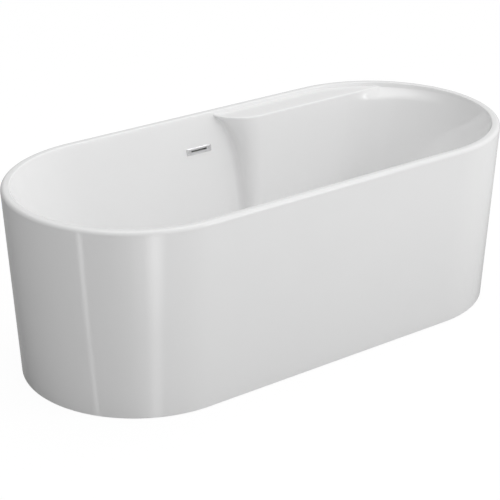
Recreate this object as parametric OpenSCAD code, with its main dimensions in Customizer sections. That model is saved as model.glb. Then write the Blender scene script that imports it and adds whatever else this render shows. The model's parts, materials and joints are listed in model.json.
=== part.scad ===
// Freestanding oval bathtub with a shelf along one side, in millimetres.
// +Z is up, +X points to the shelf end, -Y is the long side people step over.
// The origin is on the floor under the middle of the tub.

/* [Overall] */
// Overall length over the rim
tub_l = 1700; // [1600:10:1800]
// Overall width over the rim
tub_w = 780; // [760:2:820]
// Height of the rim above the floor
tub_h = 590; // [570:2:620]
// How much smaller the radius of the outer wall is at the floor than at the rim
skirt_taper = 30; // [20:1:40]
// Gap between the lower edge of the skirt and the floor
skirt_gap = 3; // [2:0.5:6]
// Thickness of the acrylic shells with their glass fibre backing
shell_t = 5; // [4:0.5:6]

/* [Rim] */
// Full width of the rim
rim_w = 27; // [24:1:32]
// Rounding of the outer edge of the rim
rim_outer_r = 12; // [8:1:14]
// Rounding of the inner edge of the rim
rim_inner_r = 4; // [3:0.5:6]
// Length of the rim that turns down outside, below the rounding
rim_drop = 2; // [1:0.5:6]

/* [Basin] */
// Height of the basin floor at its edge
floor_z = 150; // [146:1:165]
// Fall of the basin floor from its edge to the waste
floor_fall = 4; // [2:0.5:6]
// Radius between the basin walls and the basin floor
floor_r = 80; // [60:1:90]
// Lean of the long basin walls, millimetres in for each millimetre down
side_lean = 0.158; // [0.12:0.002:0.18]
// Lean of the end walls, millimetres in for each millimetre down
end_lean = 0.44; // [0.38:0.01:0.48]

/* [Shelf] */
// Step from the rim down to the shelf
shelf_step = 12; // [8:1:20]
// Distance of the shelf front from the middle of the tub
shelf_y = 268; // [250:1:285]
// Lean of the shelf front, millimetres in for each millimetre down
shelf_lean = 0.03; // [0.01:0.005:0.05]
// Rounding of the upper front edge of the shelf
shelf_edge_r = 5; // [3:0.5:7]
// Where the shelf starts at the basin wall
shelf_start_x = 65; // [40:1:90]
// Corner point of the shelf in plan, before it is rounded
shelf_corner_x = 94; // [80:1:110]
// Plan radius of the shelf corner at the top
shelf_corner_r = 134; // [100:1:134]
// How far the shelf end draws back on its way down
shelf_draw = 87; // [60:1:100]
// Depth over which the shelf end draws back
shelf_draw_depth = 60; // [40:1:90]
// Where the flat shelf front gives way to the curved end wall
shelf_flat_x = 557; // [530:1:580]

/* [Waste] */
// Radius of the hole in the basin floor
waste_hole_r = 24; // [23:0.5:26]
// Radius of the chromed waste flange
waste_flange_r = 35; // [32:0.5:38]
// Radius of the plug cap
plug_r = 32; // [29:0.5:34]
// Thickness of the plug cap
plug_t = 5; // [4:0.5:8]
// Lift of the plug between closed and open
plug_lift = 8; // [6:0.5:10]
// Radius of the plug stem
stem_r = 4; // [3.5:0.1:5]
// Radial clearance of a sliding stem or stud in its bore
slide_fit = 0.08; // [0.04:0.01:0.1]
// Outer radius of the outlet pipe
outlet_r = 20; // [18:0.5:20]
// How far the outlet pipe reaches from the waste
outlet_x = 230; // [200:5:300]

/* [Overflow] */
// Height of the middle of the overflow cover
overflow_z = 477; // [470:1:485]
// Width of the overflow cover
cover_w = 95; // [90:1:100]
// Height of the overflow cover
cover_h = 22; // [20:0.5:24]
// Width of the slot in the overflow cover
slot_w = 61; // [50:1:64]
// Height of the slot in the overflow cover
slot_h = 5; // [4:0.5:6]
// Outer radius of the overflow pipe
pipe_r = 11; // [9:0.5:11.5]

/* [Frame and feet] */
// Side of the square tube of the two long rails
rail_s = 25; // [20:1:25]
// Length of the long rails
rail_l = 1000; // [960:10:1040]
// Distance of the rails from the middle of the tub
rail_y = 130; // [115:1:150]
// Height of the cross members, square tube too
cross_s = 30; // [25:1:30]
// Length of the cross members
cross_l = 600; // [560:10:620]
// Distance of the outer cross members from the middle of the tub
cross_x = 430; // [400:1:440]
// Distance of the inner cross member from the middle, on the side away from the shelf
inner_x = 150; // [120:1:200]
// Wall of the square tubes
tube_t = 2; // [1.5:0.5:3]
// Thickness of the base board
board_t = 18; // [15:1:18]
// Length of the base board
board_l = 1040; // [1000:10:1060]
// Width of the base board
board_w = 330; // [300:5:340]
// Distance of the outer feet from the middle line
foot_y = 230; // [200:1:250]
// Radius of the foot studs
stud_r = 6; // [5:0.5:6]
// Radius of the foot pads
pad_r = 25; // [20:1:30]
// Travel of each levelling foot
foot_travel = 15; // [10:1:18]

/* [Hidden] */
// Every separate piece
// Gap between pieces that move against each other
move_gap = 0.3;
// Small overlap that lets one solid cut cleanly through another
eps = 1;
// Segments of round parts
round_fn = 64;

// Plan of the outer wall
rim_r = tub_w / 2;
end_x = tub_l / 2 - rim_r;

// Thickness of the basin floor at the waste
waste_sheet_t = 3;
// Flat of the basin floor around the waste flange
waste_flat_w = 4;

// Rim and basin walls
wall_r = rim_r - rim_w;
joint_z = tub_h - rim_outer_r - rim_drop;
shelf_z = tub_h - shelf_step;
waste_z = floor_z - floor_fall;
under_z = waste_z - waste_sheet_t;
fillet_z = floor_z + floor_r;

// Radius of the outer wall at a height
function skirt_r(z) = rim_r - skirt_taper * (tub_h - rim_outer_r - z) / (tub_h - rim_outer_r);

// Half width of the basin at a height
function side_y(z) = wall_r - side_lean * (tub_h - z);

// Reach of the basin ends at a height
function end_reach(z) = end_x + side_y(shelf_z) - end_lean * (shelf_z - z);

// Middle of the round ends of the basin at a height
function end_middle(z) = end_reach(z) - side_y(z);

// How the shelf end changes on its way down: how much less its corner draws back than its start, the
// rounding of the corner far down, the rounding at the wall at the top and what it gains
corner_lag = 23;
corner_low_r = 35;
root_top_r = 0.5;
root_gain = 22;
// How far the start of the curved end wall moves for each millimetre down
flat_draw = 0.15;
// Depth over which the sharp tip of the shelf rounds off into the end wall
tip_fade = 35;

// How much of the drawn-out shelf end is left at a height, 1 at the shelf top
function draw_left(z) = exp(-max(0, shelf_z - z) / shelf_draw_depth);

// Distance of the shelf front from the middle line at a height
function front_y(z) = shelf_y - shelf_lean * max(0, shelf_z - z);

// Point of the shelf end at the basin wall
function start_x(z) = shelf_start_x + shelf_draw * (1 - draw_left(z));

// Corner point of the shelf in plan
function corner_x(z) = shelf_corner_x + (shelf_draw - corner_lag) * (1 - draw_left(z));

// Rounding of the shelf corner in plan
function corner_r(z) = corner_low_r + (shelf_corner_r - corner_low_r) * draw_left(z);

// Rounding in plan between the basin wall and the shelf end
function root_r(z) = root_top_r + root_gain * (1 - draw_left(z));

// Where the curved end wall starts
function flat_x(z) = shelf_flat_x - flat_draw * (shelf_z - z);

// Share of the rounded end wall against the sharp shelf tip, 0 at the shelf top
function end_share(z) = let (s = min(1, max(0, (shelf_z - z) / tip_fade))) s * s * (3 - 2 * s);

// Opening for the overflow in the basin wall
neck_w = 70;
neck_h = 12;

// Places of the columns on the straight back wall, the first two beside the overflow opening
BACK_X = [neck_w / 2, -neck_w / 2, -120, -210, -300];

// Columns of the basin surface, counted along its plan outline
n_left = 30;
n_front = 6;
n_end = 15;
n_tip = 16;
n_flat = 7;
n_corner = 8;
n_root = 5;
col_front = n_left;
col_end = col_front + n_front;
col_tip = col_end + n_end;
col_flat = col_tip + n_tip;
col_corner = col_flat + n_flat;
col_root = col_corner + n_corner;
col_back = col_root + n_root;
n_cols = col_back + len(BACK_X);
// Columns that crowd towards the shelf tip, where the rim still bends
flat_crowd = 1.3;
// Columns by the shelf tip that stay off the shelf edge
tip_clear = 8;

// Point between two points
function between(a, b, t) = a + (b - a) * t;

// Unit vector of a plan vector
function unit(v) = v / norm(v);

// Point of a rounded corner: p before, q corner, s after, radius r, t from 0 to 1
function corner_point(p, q, s, r, t) =
    let (
        a = unit(p - q),
        b = unit(s - q),
        half = acos(a * b) / 2,
        middle = q + unit(a + b) * r / sin(half),
        from = q + a * r / tan(half) - middle,
        to = q + b * r / tan(half) - middle,
        turn = 180 - 2 * half,
        side = sign(from.x * to.y - from.y * to.x),
        w = side * turn * t
    )
    middle + [from.x * cos(w) - from.y * sin(w), from.x * sin(w) + from.y * cos(w)];

// Reach along a direction from the start of the end wall to the basin outline without the shelf fillet
function tip_reach(x0, c, w, y, a) =
    let (
        d = x0 - c,
        along = d * cos(a),
        to_arc = -along + sqrt(along * along - d * d + w * w)
    )
    min(to_arc, sin(a) > 0.001 ? y / sin(a) : to_arc);

// Plan point of the end wall on the shelf side, a from 0 at the middle line to 90 at the flat front
function tip_point(z, g, a) =
    let (
        w = side_y(z) - g,
        y = front_y(z) - g,
        x0 = flat_x(z) - max(0, g),
        reach = end_reach(z) - g - x0,
        round_point = [x0 + reach * cos(a), y * sin(a)],
        sharp_point = [x0, 0] + tip_reach(x0, end_middle(z), w, y, a) * [cos(a), sin(a)]
    )
    between(sharp_point, round_point, end_share(z));

// Plan point of the basin outline in column i at height z, moved inwards by g
function basin_point(z, g, i) =
    let (
        w = side_y(z) - g,
        c = end_middle(z),
        wall = [start_x(z) - g, w],
        corner = [corner_x(z) - g, front_y(z) - g],
        tip = [flat_x(z) - max(0, g), front_y(z) - g],
        left = [-c, w],
        turn_end = corner_point(tip, corner, wall, corner_r(z), 0)
    )
    i < col_front ? [-c, 0] + w * [cos(90 + 180 * i / n_left), sin(90 + 180 * i / n_left)] :
    i < col_end ? between([-c, -w], [c, -w], (i - col_front) / n_front) :
    i < col_tip ? [c, 0] + w * [cos(90 * (i - col_end) / n_end - 90), sin(90 * (i - col_end) / n_end - 90)] :
    i < col_flat ? tip_point(z, g, 90 * (i - col_tip) / n_tip) :
    i < col_corner ? between(tip, turn_end, pow((i - col_flat) / n_flat, flat_crowd)) :
    i < col_root ? corner_point(tip, corner, wall, corner_r(z), (i - col_corner) / n_corner) :
    i < col_back ? corner_point(corner, wall, left, root_r(z), (i - col_root + 0.5) / n_root) :
    [BACK_X[i - col_back], w];

// 1 for the columns that run over the shelf, 0 for the others
function on_shelf(i) = i > col_tip + tip_clear && i < col_root ? 1 : 0;

// Plan point of the rim outline with radius r in column i
function rim_point(r, i) =
    let (p = basin_point(shelf_z, 0, i), side = sign(p.x), over = abs(p.x) - end_x)
    over <= 0 ? [p.x, r * sign(p.y)] : [side * end_x, 0] + r * unit([side * over, p.y]);

// Ring of the rim at radius r and height z
function rim_ring(r, z) = [for (i = [0 : n_cols - 1]) concat(rim_point(r, i), z)];

// Ring of the basin at height z, drawn at height h and moved inwards by g
function basin_ring(z, g, h) = [for (i = [0 : n_cols - 1]) concat(basin_point(z, g, i), h)];

// Plan point kept inside a wall of radius r round the point c on the middle line
function inside_rim(p, c, r) =
    let (over = [max(0, p.x - c), p.y], reach = norm(over))
    reach <= r ? p : [p.x - over.x, 0] + over * r / reach;

// Drop from the shelf step to the start of the edge rounding, and its distance from the rim wall
edge_drop = 0.5;
edge_gap = 0.1;

// Ring near the shelf edge, moved only where the shelf is and kept inside the rim wall
function edge_ring(z, g) = [
    for (i = [0 : n_cols - 1])
        let (p = basin_point(z, g * on_shelf(i), i))
        concat(on_shelf(i) == 0 ? p : inside_rim(p, end_middle(z), side_y(z) - edge_gap), z)
];

// Ring of the floor, shrunk towards the waste
function floor_ring(share, h) = [for (i = [0 : n_cols - 1]) concat(share * basin_point(floor_z, floor_r, i), h)];

// Angle of column 0 on the waste hole
hole_start = 145;

// Ring round the waste with radius r
function waste_ring(r, h) = [
    for (i = [0 : n_cols - 1])
        let (a = hole_start + 360 * i / n_cols)
        [r * cos(a), r * sin(a), h]
];

// Angles of the rounding between wall and floor
fillet_steps = [22, 44, 67, 90];
// Heights of the basin walls, from the shelf down
wall_steps = [566, 559, 551, 543, 530, 510, overflow_z + neck_h / 2, overflow_z - neck_h / 2, 430, 380, 310];
// Heights of the back of the basin walls, from the floor up
back_steps = [310, 380, 430, overflow_z - neck_h / 2, overflow_z + neck_h / 2, 510, 530, 543, 551, 559, 565];
// Shrinking steps of the basin floor
floor_steps = [0.6];

// Thickness of the rim sheet
rim_t = shell_t + 1;

// Rings of the basin, once around its section
BASIN_RINGS = concat(
    [
        rim_ring(skirt_r(joint_z), joint_z),
        rim_ring(skirt_r(joint_z + rim_drop), joint_z + rim_drop)
    ],
    [for (a = [30, 60, 90]) rim_ring(rim_r - rim_outer_r * (1 - cos(a)), tub_h - rim_outer_r * (1 - sin(a)))],
    [
        rim_ring(wall_r + rim_inner_r, tub_h),
        rim_ring(wall_r + rim_inner_r * (1 - sin(45)), tub_h - rim_inner_r * (1 - cos(45))),
        rim_ring(side_y(tub_h - rim_inner_r), tub_h - rim_inner_r),
        rim_ring(side_y(shelf_z), shelf_z),
        edge_ring(shelf_z - edge_drop, -shelf_edge_r),
        edge_ring(shelf_z - edge_drop - shelf_edge_r * (1 - cos(45)), -shelf_edge_r * (1 - sin(45))),
        edge_ring(shelf_z - edge_drop - shelf_edge_r, 0)
    ],
    [for (z = wall_steps) basin_ring(z, 0, z)],
    [basin_ring(fillet_z, 0, fillet_z)],
    [for (a = fillet_steps) basin_ring(fillet_z - floor_r * sin(a), floor_r * (1 - cos(a)), fillet_z - floor_r * sin(a))],
    [for (s = floor_steps) floor_ring(s, waste_z + floor_fall * s)],
    [
        waste_ring(waste_flange_r + waste_flat_w, waste_z),
        waste_ring(waste_hole_r, waste_z),
        waste_ring(waste_hole_r, under_z)
    ],
    [floor_ring(1, under_z)],
    [
        for (a = [72, 48, 24])
            let (z = fillet_z - (floor_r + shell_t) * sin(a))
            basin_ring(z, floor_r - (floor_r + shell_t) * cos(a), z)
    ],
    [basin_ring(fillet_z, -shell_t, fillet_z)],
    [for (z = back_steps) basin_ring(z, -shell_t, z)],
    [
        basin_ring(shelf_z - rim_t - edge_drop, -shell_t, shelf_z - rim_t - edge_drop),
        rim_ring(side_y(shelf_z) + shell_t, shelf_z - rim_t),
        rim_ring(wall_r + shell_t, tub_h - rim_t),
        rim_ring(skirt_r(joint_z) - shell_t, tub_h - rim_t),
        rim_ring(skirt_r(joint_z) - shell_t, joint_z)
    ]
);

// Rows of that list down to the shelf edge, and rows under the shelf and the rim at its end
RIM_ROWS = 12;
UNDER_ROWS = 5;

// Frame heights, from the base board down
board_z = under_z - board_t;
rail_z = board_z - rail_s;
cross_z = rail_z - cross_s;

// Levelling feet
FEET = [[-cross_x, -foot_y], [-cross_x, foot_y], [cross_x, -foot_y], [cross_x, foot_y], [-inner_x, 0]];
nut_h = 10;
nut_r = 11;
hex_fn = 6;
collar_h = 8;
collar_r = 10;
pad_h = 10;
hub_h = 18;
hub_r = 10;
// Least length of stud left in the welded nut at full travel, and gap to the base board
stud_hold = 7;
stud_gap = 3;
stud_top = min(board_z - stud_gap, rail_z + foot_travel + stud_hold);
collar_top = cross_z - nut_h - move_gap;

// Timber blocks on the skirt, steel brackets on the cross members and their screws
block_x = 56;
block_y = 340;
block_low = 64;
block_high = 150;
bracket_w = 40;
bracket_t = 3;
bracket_start = 255;
bracket_up = 45;
screw_r = 2.5;
head_r = 5;
head_h = 2.5;
bracket_screw_y = 278;
bracket_screw_z = 128;
bracket_screw_l = 14;
tip_gap = 2;
BRACKETS = [for (x = [-cross_x, cross_x], s = [-1, 1]) [x, s]];

// Screws between rails and base board
board_screw_l = 12;
BOARD_SCREWS = [for (x = [-460, -250, 60, 250, 460], s = [-1, 1]) [x, s * rail_y]];

// Overflow: the body sits tilted behind the wall, the pipe hangs from it
wall_tilt = atan(side_lean);
wall_back = shell_t * cos(wall_tilt);
cover_t = 3;
neck_play = 0.3;
neck_wall = 2;
seal_t = 2;
seal_w = 84;
seal_h = 26;
body_w = 88;
body_depth = 21;
body_h = 34;
body_wall = 2.5;
pipe_tilt = 6;
pipe_bore_r = pipe_r - 3;
spigot_wall = 2.5;
pipe_bend = 50;
pipe_z = 86;
pipe_y = 361;
pipe_top = 450;
spigot_up = 20;
spigot_down = 12;
pipe_nut_r = 14.5;
pipe_nut_h = 16;
cross_nut_r = 13.5;
elbow_r = 13;
pipe_drop = pipe_top - pipe_z - pipe_bend * (1 - sin(pipe_tilt));
bend_y = pipe_y - pipe_drop * tan(pipe_tilt) - pipe_bend * cos(pipe_tilt);
pipe_run = pipe_drop / cos(pipe_tilt);

// Waste flange, seals and plug
flange_seal_t = 1.5;
flange_t = 3;
tail_r = 22;
tail_bore_r = 18;
tail_low = 112;
spider_low = 116;
spider_t = 6;
spoke_w = 4;
cartridge_r = 8;
cartridge_h = plug_lift + 12;
cap_seal_t = 1.2;
cap_seal_w = 4;
seal_inset = 2;
stem_gap = 4;
flange_low = waste_z + flange_seal_t;
flange_high = flange_low + flange_t;
cap_low = flange_high + move_gap + cap_seal_t;
cartridge_low = spider_low + spider_t;
stem_low = cartridge_low + stem_gap;

// Waste body and trap
body_flange_r = 44;
body_flange_t = 5;
body_flange_low = under_z - flange_seal_t - body_flange_t;
collar_low = 120;
chamber_r = 32;
chamber_bore_r = 28;
chamber_low = 74;
boss_r = 12;
boss_end = 46;
dip_r = 20;
dip_bore_r = 17;
dip_low = 13;
trap_r = 44;
trap_wall = 3;
trap_low = 5;
trap_high = 56;
neck_r = 24;
trap_neck_high = 64;
trap_seal_t = 2;
union_r = 31;
union_bore_step = 66;
union_low = 58;
union_high = 72;
outlet_z = 34;
outlet_bore_r = outlet_r - 3;
socket_x = 80;
pipe_start = 52;
nut_x = 72;
nut_end = 86;

// Plan outline with round ends
module stadium(r)
{
    translate([-end_x, 0])
        circle(r = r, $fn = 2 * round_fn);
    translate([end_x, 0])
        circle(r = r, $fn = 2 * round_fn);
    square([2 * end_x, 2 * r], center = true);
}

// Ring that follows the plan outline, from its section given as radius and height points
module ring_by_section(points)
{
    translate([end_x, 0, 0])
        rotate([0, 0, -90])
            rotate_extrude(angle = 180, $fn = 2 * round_fn)
                polygon(points);
    translate([-end_x, 0, 0])
        rotate([0, 0, 90])
            rotate_extrude(angle = 180, $fn = 2 * round_fn)
                polygon(points);
    translate([-end_x, 0, 0])
        rotate([90, 0, 90])
            linear_extrude(height = 2 * end_x)
                polygon(points);
    translate([end_x, 0, 0])
        rotate([90, 0, -90])
            linear_extrude(height = 2 * end_x)
                polygon(points);
}

// Closed surface through a list of rings that run once around a section, with one four-sided opening
// in column hole_col that joins the patch above row front_row to the patch above row back_row
module ring_surface(rings, hole_col, front_row, back_row)
{
    rows = len(rings);
    cols = len(rings[0]);
    points = [for (ring = rings) for (p = ring) p];
    skin = [
        for (j = [0 : rows - 1], i = [0 : cols - 1], half = [0, 1])
            let (
                a = j * cols + i,
                b = j * cols + (i + 1) % cols,
                c = ((j + 1) % rows) * cols + (i + 1) % cols,
                d = ((j + 1) % rows) * cols + i
            )
            if (i != hole_col || (j != front_row && j != back_row))
                half == 0 ? [a, c, b] : [a, d, c]
    ];
    front = front_row * cols + hole_col;
    back = back_row * cols + hole_col;
    rim_front = [front, front + 1, front + cols + 1, front + cols];
    rim_back = [back + cols, back + cols + 1, back + 1, back];
    sides = [
        for (k = [0 : 3], half = [0, 1])
            let (n = (k + 1) % 4)
            half == 0 ? [rim_front[k], rim_back[n], rim_front[n]] : [rim_front[k], rim_back[k], rim_back[n]]
    ];
    polyhedron(points = points, faces = concat(skin, sides), convexity = 8);
}

// Inner shell: rim, shelf, walls and floor in one formed sheet
module basin()
{
    front_row = RIM_ROWS + search(overflow_z + neck_h / 2, wall_steps)[0];
    back_row = len(BASIN_RINGS) - UNDER_ROWS - len(back_steps) + search(overflow_z - neck_h / 2, back_steps)[0];
    color("white")
        ring_surface(BASIN_RINGS, col_back, front_row, back_row);
}

// Outer shell that closes the tub down to the floor
module skirt()
{
    low_r = skirt_r(skirt_gap);
    high_r = skirt_r(joint_z);
    color("white")
        ring_by_section([
            [low_r - shell_t, skirt_gap],
            [low_r, skirt_gap],
            [high_r, joint_z],
            [high_r - shell_t, joint_z]
        ]);
}

// Bead of adhesive in the corner under the rim that holds both shells together
module rim_bond()
{
    bead_w = 7;
    bead_low = 8;
    rim_gap = 1.5;
    low_z = joint_z - bead_low;
    top_z = tub_h - rim_t;
    inner_r = skirt_r(joint_z) - shell_t;
    color("gainsboro")
        ring_by_section([
            [inner_r - bead_w, low_z],
            [skirt_r(low_z) - shell_t, low_z],
            [inner_r, joint_z],
            [inner_r - rim_gap, joint_z],
            [inner_r - rim_gap, top_z],
            [inner_r - bead_w, top_z]
        ]);
}

// Board bonded under the basin floor
module base_board()
{
    corner = 40;
    body_gap = 4;
    color("burlywood")
        difference() {
            translate([0, 0, board_z])
                linear_extrude(height = board_t) {
                    square([board_l, board_w - 2 * corner], center = true);
                    square([board_l - 2 * corner, board_w], center = true);
                    for (x = [-1, 1], y = [-1, 1])
                        translate([x * (board_l / 2 - corner), y * (board_w / 2 - corner)])
                            circle(r = corner, $fn = round_fn);
                }
            translate([0, 0, board_z - eps])
                cylinder(r = body_flange_r + body_gap, h = board_t + 2 * eps, $fn = round_fn);
            for (p = BOARD_SCREWS)
                translate([p.x, p.y, board_z - eps])
                    cylinder(r = screw_r, h = board_screw_l + eps, $fn = round_fn / 2);
        }
}

// Square tube along X with its lower face at z
module tube_x(length, side, z)
{
    translate([-length / 2, -side / 2, z])
        difference() {
            cube([length, side, side]);
            translate([-eps, tube_t, tube_t])
                cube([length + 2 * eps, side - 2 * tube_t, side - 2 * tube_t]);
        }
}

// Two long rails under the base board
module frame_rails()
{
    color("silver")
        difference() {
            for (s = [-1, 1])
                translate([0, s * rail_y, 0])
                    tube_x(rail_l, rail_s, rail_z);
            for (p = BOARD_SCREWS)
                translate([p.x, p.y, rail_z - eps])
                    cylinder(r = screw_r, h = rail_s + 2 * eps, $fn = round_fn / 2);
        }
}

// Cross members welded under the rails, drilled for the feet and the brackets
module frame_cross_members()
{
    inner_l = 2 * rail_y + 2 * rail_s;
    color("silver")
        difference() {
            union() {
                for (x = [-cross_x, cross_x])
                    translate([x, 0, 0])
                        rotate([0, 0, 90])
                            tube_x(cross_l, cross_s, cross_z);
                translate([-inner_x, 0, 0])
                    rotate([0, 0, 90])
                        tube_x(inner_l, cross_s, cross_z);
            }
            for (p = FEET)
                translate([p.x, p.y, cross_z - eps])
                    cylinder(r = stud_r + 2 * move_gap, h = cross_s + 2 * eps, $fn = round_fn);
            for (p = BRACKETS)
                translate([p.x, p.y * bracket_screw_y, rail_z - tube_t - eps])
                    cylinder(r = screw_r, h = tube_t + 2 * eps, $fn = round_fn / 2);
        }
}

// Hexagon nut with a round bore, its lower face at z
module hex_nut(across, bore, h, z)
{
    translate([0, 0, z])
        difference() {
            cylinder(r = across, h = h, $fn = hex_fn);
            translate([0, 0, -eps])
                cylinder(r = bore, h = h + 2 * eps, $fn = round_fn);
        }
}

// Nuts welded on the cross members over the feet
module weld_nuts()
{
    color("silver")
        for (p = FEET)
            translate([p.x, p.y, 0])
                hex_nut(nut_r, stud_r + slide_fit, nut_h, rail_z);
}

// Lock nuts under the cross members
module lock_nuts()
{
    color("silver")
        for (p = FEET)
            translate([p.x, p.y, 0])
                hex_nut(nut_r, stud_r + slide_fit, nut_h, cross_z - nut_h);
}

// Stud of levelling foot n with its spanner collar
module foot_stud(n)
{
    p = FEET[n - 1];
    color("silver")
        translate([p.x, p.y, 0]) {
            translate([0, 0, pad_h])
                cylinder(r = stud_r, h = stud_top - pad_h, $fn = round_fn);
            translate([0, 0, collar_top - collar_h])
                cylinder(r = collar_r, h = collar_h, $fn = hex_fn);
        }
}

// Pad of levelling foot n
module foot_pad(n)
{
    p = FEET[n - 1];
    bevel = 2;
    color("dimgray")
        translate([p.x, p.y, 0])
            rotate_extrude($fn = round_fn)
                polygon([
                    [0, 0], [pad_r, 0], [pad_r, pad_h / 2], [pad_r - bevel, pad_h],
                    [hub_r, pad_h], [hub_r, hub_h], [stud_r, hub_h], [stud_r, pad_h], [0, pad_h]
                ]);
}

// Timber blocks bonded inside the skirt beside the cross members
module skirt_blocks()
{
    section = [
        [block_y, block_low],
        [skirt_r(block_low) - shell_t, block_low],
        [skirt_r(block_high) - shell_t, block_high],
        [block_y, block_high]
    ];
    hole_l = bracket_screw_l + eps;
    color("burlywood")
        difference() {
            for (p = BRACKETS)
                translate([p.x, 0, 0])
                    mirror([0, p.y < 0 ? 1 : 0, 0])
                        translate([-block_x / 2, 0, 0])
                            rotate([90, 0, 90])
                                linear_extrude(height = block_x)
                                    polygon(section);
            for (p = BRACKETS)
                translate([p.x, p.y * (block_y - eps), bracket_screw_z])
                    rotate([-90 * p.y, 0, 0])
                        cylinder(r = screw_r, h = hole_l, $fn = round_fn / 2);
        }
}

// Steel angles from the cross members to the blocks
module skirt_brackets()
{
    leg = block_y - bracket_start;
    color("silver")
        difference() {
            for (p = BRACKETS)
                translate([p.x, 0, 0])
                    mirror([0, p.y < 0 ? 1 : 0, 0])
                        translate([-bracket_w / 2, bracket_start, rail_z]) {
                            cube([bracket_w, leg, bracket_t]);
                            translate([0, leg - bracket_t, bracket_t])
                                cube([bracket_w, bracket_t, bracket_up - bracket_t]);
                        }
            for (p = BRACKETS) {
                translate([p.x, p.y * bracket_screw_y, rail_z - eps])
                    cylinder(r = screw_r, h = bracket_t + 2 * eps, $fn = round_fn / 2);
                translate([p.x, p.y * (block_y - bracket_t - eps), bracket_screw_z])
                    rotate([-90 * p.y, 0, 0])
                        cylinder(r = screw_r, h = bracket_t + 2 * eps, $fn = round_fn / 2);
            }
        }
}

// Pan head screw along +Z, head below z = 0
module screw(length)
{
    cylinder(r = screw_r, h = length, $fn = round_fn / 2);
    translate([0, 0, -head_h])
        cylinder(r = head_r, h = head_h, $fn = round_fn / 2);
}

// Screws of the brackets, one into each cross member and one into each block
module bracket_screws()
{
    down_l = bracket_t + tube_t;
    side_l = bracket_t + bracket_screw_l - tip_gap;
    color("gray")
        for (p = BRACKETS) {
            translate([p.x, p.y * bracket_screw_y, rail_z + bracket_t])
                rotate([180, 0, 0])
                    screw(down_l);
            translate([p.x, p.y * (block_y - bracket_t), bracket_screw_z])
                rotate([-90 * p.y, 0, 0])
                    screw(side_l);
        }
}

// Screws through the rails into the base board
module board_screws()
{
    color("gray")
        for (p = BOARD_SCREWS)
            translate([p.x, p.y, rail_z])
                screw(rail_s + board_screw_l);
}

// Frame of the basin wall at the overflow: Z out of the wall, Y up along it
module at_wall()
{
    translate([0, side_y(overflow_z), overflow_z])
        rotate([90 - wall_tilt, 0, 0])
            children();
}

// Box centred in X and Y between two heights
module slab(w, h, low, high)
{
    translate([-w / 2, -h / 2, low])
        cube([w, h, high - low]);
}

// Chromed cover of the overflow with its slot
module overflow_cover()
{
    color("lightgray")
        at_wall()
            difference() {
                slab(cover_w, cover_h, 0, cover_t);
                slab(slot_w, slot_h, -eps, cover_t + eps);
            }
}

// Seal between the back of the basin wall and the overflow body
module overflow_seal()
{
    color("black")
        at_wall()
            difference() {
                slab(seal_w, seal_h, -wall_back - seal_t, -wall_back);
                slab(neck_w, neck_h + 3 * eps, -wall_back - seal_t - eps, -wall_back + eps);
            }
}

// Frame of the overflow pipe: Z up along it
module at_pipe()
{
    translate([0, pipe_y, pipe_top])
        rotate([-pipe_tilt, 0, 0])
            children();
}

// Hollow box behind the basin wall that collects the overflow water
module overflow_body()
{
    front = -wall_back - seal_t;
    back = front - body_depth;
    neck_y = side_y(overflow_z);
    neck_start = 1.5;
    neck_l = 9;
    color("whitesmoke")
        difference() {
            union() {
                at_wall()
                    slab(body_w, body_h, back, front);
                translate([-neck_w / 2 + neck_play, neck_y + neck_start, overflow_z - neck_h / 2 + neck_play])
                    cube([neck_w - 2 * neck_play, neck_l, neck_h - 2 * neck_play]);
                at_pipe()
                    translate([0, 0, -spigot_down])
                        cylinder(r = pipe_bore_r, h = spigot_up + spigot_down, $fn = round_fn);
            }
            at_wall()
                slab(body_w - 2 * body_wall, body_h - 2 * body_wall, back + body_wall, front - body_wall);
            translate([-neck_w / 2 + neck_wall, neck_y - eps, overflow_z - neck_h / 2 + neck_wall])
                cube([neck_w - 2 * neck_wall, neck_l + neck_start + body_wall + eps, neck_h - 2 * neck_wall]);
            at_pipe()
                translate([0, 0, -spigot_down - eps])
                    cylinder(r = pipe_bore_r - spigot_wall, h = spigot_up + spigot_down + eps, $fn = round_fn);
        }
}

// Pipe from the overflow body down to the elbow
module overflow_pipe()
{
    color("lightgray")
        at_pipe()
            sleeve(pipe_r, pipe_bore_r, -pipe_run, 0);
}

// Elbow at the foot of the overflow pipe
module overflow_elbow()
{
    color("darkgray")
        translate([0, bend_y, pipe_z + pipe_bend])
            rotate([90, 0, 90])
                rotate([0, 0, -90])
                    rotate_extrude(angle = 90 - pipe_tilt, $fn = 2 * round_fn)
                        translate([pipe_bend, 0])
                            difference() {
                                circle(r = elbow_r, $fn = round_fn);
                                circle(r = pipe_bore_r, $fn = round_fn);
                            }
}

// Pipe from the elbow to the waste body, under the rail
module cross_pipe()
{
    color("lightgray")
        translate([0, 0, pipe_z])
            rotate([-90, 0, 0])
                sleeve(pipe_r, pipe_bore_r, boss_end, bend_y);
}

// Ring along +Z from low to high
module sleeve(outer, bore, low, high)
{
    translate([0, 0, low])
        difference() {
            cylinder(r = outer, h = high - low, $fn = round_fn);
            translate([0, 0, -eps])
                cylinder(r = bore, h = high - low + 2 * eps, $fn = round_fn);
        }
}

// Clamp nuts at the ends of both pipes
module pipe_nuts()
{
    color("darkgray") {
        at_pipe() {
            sleeve(pipe_nut_r, pipe_r, -pipe_nut_h, 0);
            sleeve(pipe_nut_r, pipe_r, -pipe_run, pipe_nut_h - pipe_run);
        }
        translate([0, 0, pipe_z])
            rotate([-90, 0, 0]) {
                sleeve(cross_nut_r, pipe_r, boss_end, boss_end + pipe_nut_h);
                sleeve(cross_nut_r, pipe_r, bend_y - pipe_nut_h, bend_y);
            }
    }
}

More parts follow.
